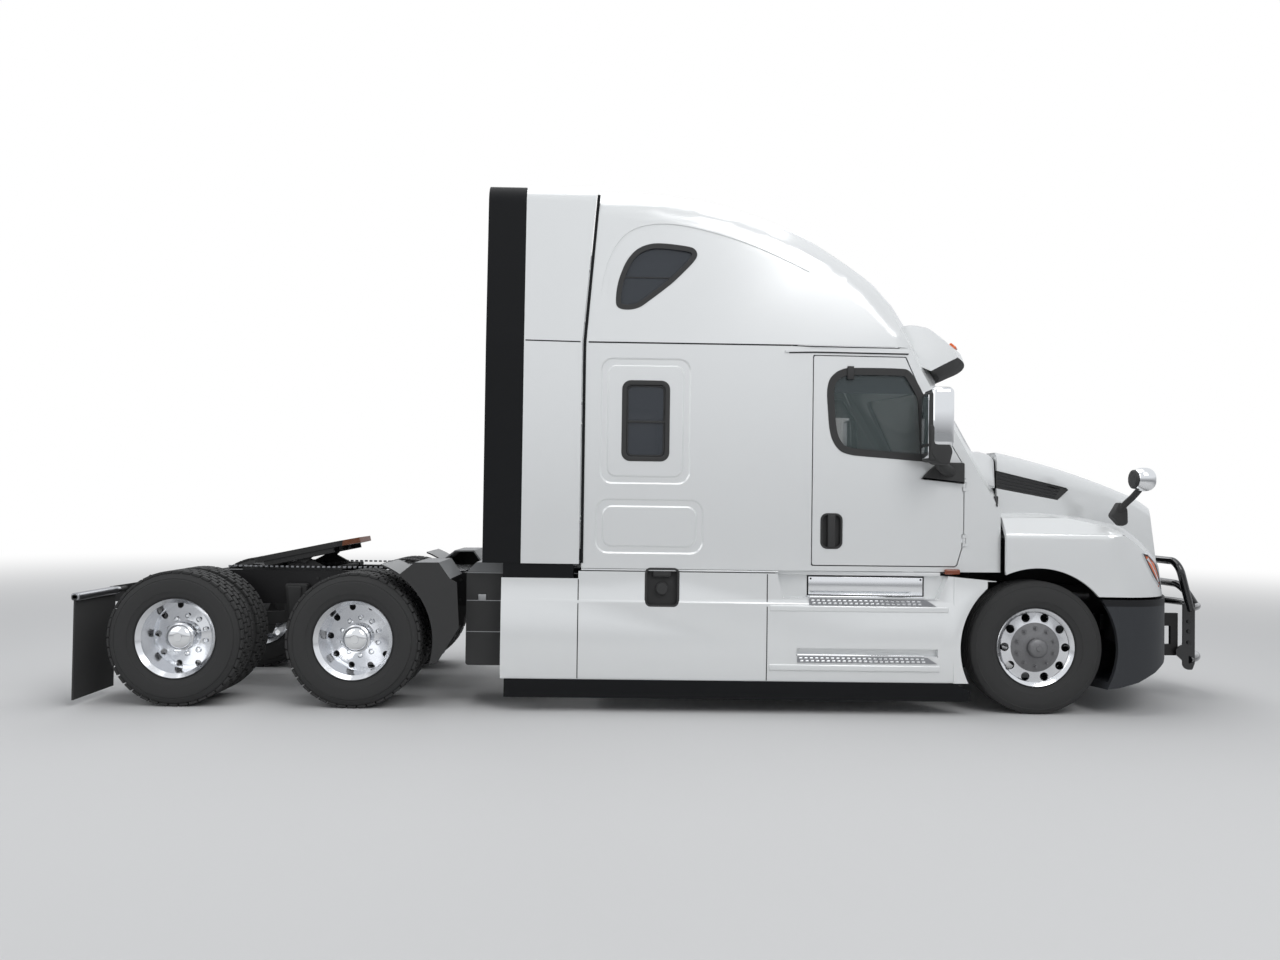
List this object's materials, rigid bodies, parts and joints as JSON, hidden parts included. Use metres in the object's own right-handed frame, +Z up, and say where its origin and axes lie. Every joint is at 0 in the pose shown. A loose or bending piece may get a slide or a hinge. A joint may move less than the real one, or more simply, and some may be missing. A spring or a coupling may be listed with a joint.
{
  "type": "semi truck tractor unit",
  "caption": "Conventional road tractor with a high-roof sleeper, side skirts, tube front guard, tandem twin-wheel axles and a tilting coupling plate.",
  "frame": {"origin": "centre of the bounding box in plan, on the ground under the tyres", "axes": "+X to the front of the truck, +Y to its left, +Z up"},
  "size_m": [9.08, 2.98, 3.95],
  "materials": {
    "white_paint": "gloss",
    "grey_plastic": "satin",
    "black_plastic": "matt",
    "black_rubber": "matt",
    "tyre_rubber": "matt",
    "black_frame": "satin",
    "polished_wheel": "polished",
    "bright_tread": "brushed",
    "black_tube": "gloss",
    "dark_glass": "tinted",
    "clear_glass": "clear",
    "lamp_lens": "clear",
    "cast_black": "rough",
    "tank_metal": "satin",
    "cabin_trim": "matt",
    "seat_cloth": "woven"
  },
  "bodies": {
    "chassis": {"frame_rails": "black_frame", "front_axle": "cast_black", "engine_block": "cast_black", "radiator": "black_plastic", "drive_axles": "cast_black", "fuel_tanks": "tank_metal", "exhaust_box": "tank_metal", "cab_shell": "white_paint", "cab_glass": "dark_glass", "roof_shell": "white_paint", "roof_glass": "dark_glass", "sun_visor": "white_paint", "side_extenders": "white_paint", "rubber_edges": "black_rubber", "side_skirts": "white_paint", "tread_plates": "bright_tread", "bumper": "grey_plastic", "fifth_wheel_base": "cast_black", "mud_guards": "black_plastic", "power_unit": "grey_plastic", "dashboard": "cabin_trim", "seats": "seat_cloth"},
    "knuckle_right": {"steering_knuckle_right": "cast_black"},
    "front_wheel_right": {"steer_tyre_right": "tyre_rubber", "steer_rim_right": "polished_wheel"},
    "knuckle_left": {"steering_knuckle_left": "cast_black"},
    "front_wheel_left": {"steer_tyre_left": "tyre_rubber", "steer_rim_left": "polished_wheel"},
    "tie_rod": {"tie_rod": "black_frame"},
    "front_drive_wheels_right": {"front_drive_tyres_right": "tyre_rubber", "front_drive_rims_right": "polished_wheel"},
    "front_drive_wheels_left": {"front_drive_tyres_left": "tyre_rubber", "front_drive_rims_left": "polished_wheel"},
    "rear_drive_wheels_right": {"rear_drive_tyres_right": "tyre_rubber", "rear_drive_rims_right": "polished_wheel"},
    "rear_drive_wheels_left": {"rear_drive_tyres_left": "tyre_rubber", "rear_drive_rims_left": "polished_wheel"},
    "door_right": {"door_right": "white_paint", "door_glass_right": "clear_glass", "door_mirror_right": "black_plastic"},
    "door_left": {"door_left": "white_paint", "door_glass_left": "clear_glass", "door_mirror_left": "black_plastic"},
    "hood": {"hood": "white_paint", "hood_grilles": "black_plastic", "headlamps": "lamp_lens", "hood_mirrors": "black_plastic"},
    "front_guard": {"front_guard": "black_tube"},
    "fifth_wheel": {"fifth_wheel_plate": "cast_black"}
  },
  "joints": [
    {"name": "steer_right", "type": "hinge", "parent": "chassis", "child": "knuckle_right", "pos_m": [2.74, -0.9, 0.502], "axis": [0, 0, 1], "range_deg": [-36, 36]},
    {"name": "front_wheel_spin_right", "type": "hinge", "parent": "knuckle_right", "child": "front_wheel_right", "pos_m": [2.74, -1.03, 0.502], "axis": [0, 1, 0], "continuous": true},
    {"name": "steer_left", "type": "hinge", "parent": "chassis", "child": "knuckle_left", "pos_m": [2.74, 0.9, 0.502], "axis": [0, 0, 1], "range_deg": [-36, 36]},
    {"name": "front_wheel_spin_left", "type": "hinge", "parent": "knuckle_left", "child": "front_wheel_left", "pos_m": [2.74, 1.03, 0.502], "axis": [0, 1, 0], "continuous": true},
    {"name": "tie_rod_swing", "type": "hinge", "parent": "knuckle_right", "child": "tie_rod", "pos_m": [2.57, -0.9, 0.412], "axis": [0, 0, 1], "range_deg": [-36, 36]},
    {"name": "front_drive_spin_right", "type": "hinge", "parent": "chassis", "child": "front_drive_wheels_right", "pos_m": [-2.375, -0.912, 0.502], "axis": [0, 1, 0], "continuous": true},
    {"name": "front_drive_spin_left", "type": "hinge", "parent": "chassis", "child": "front_drive_wheels_left", "pos_m": [-2.375, 0.912, 0.502], "axis": [0, 1, 0], "continuous": true},
    {"name": "rear_drive_spin_right", "type": "hinge", "parent": "chassis", "child": "rear_drive_wheels_right", "pos_m": [-3.685, -0.912, 0.502], "axis": [0, 1, 0], "continuous": true},
    {"name": "rear_drive_spin_left", "type": "hinge", "parent": "chassis", "child": "rear_drive_wheels_left", "pos_m": [-3.685, 0.912, 0.502], "axis": [0, 1, 0], "continuous": true},
    {"name": "door_swing_right", "type": "hinge", "parent": "chassis", "child": "door_right", "pos_m": [2.186, -1.147, 1.5], "axis": [0, 0, 1], "range_deg": [0, 65]},
    {"name": "door_swing_left", "type": "hinge", "parent": "chassis", "child": "door_left", "pos_m": [2.186, 1.147, 1.5], "axis": [0, 0, -1], "range_deg": [0, 65]},
    {"name": "hood_tilt", "type": "hinge", "parent": "chassis", "child": "hood", "pos_m": [4.046, 0, 0.902], "axis": [0, 1, 0], "range_deg": [0, 60]},
    {"name": "guard_fold", "type": "hinge", "parent": "chassis", "child": "front_guard", "pos_m": [4.19, 0, 0.39], "axis": [0, 1, 0], "range_deg": [0, 66]},
    {"name": "fifth_wheel_tilt", "type": "hinge", "parent": "chassis", "child": "fifth_wheel", "pos_m": [-2.98, 0, 1.06], "axis": [0, 1, 0], "range_deg": [0, 24]}
  ],
  "couplings": [
    {"joint": "steer_left", "follows": "steer_right", "ratio": 1},
    {"joint": "tie_rod_swing", "follows": "steer_right", "ratio": -1},
    {"joint": "guard_fold", "follows": "hood_tilt", "ratio": 1.1}
  ]
}
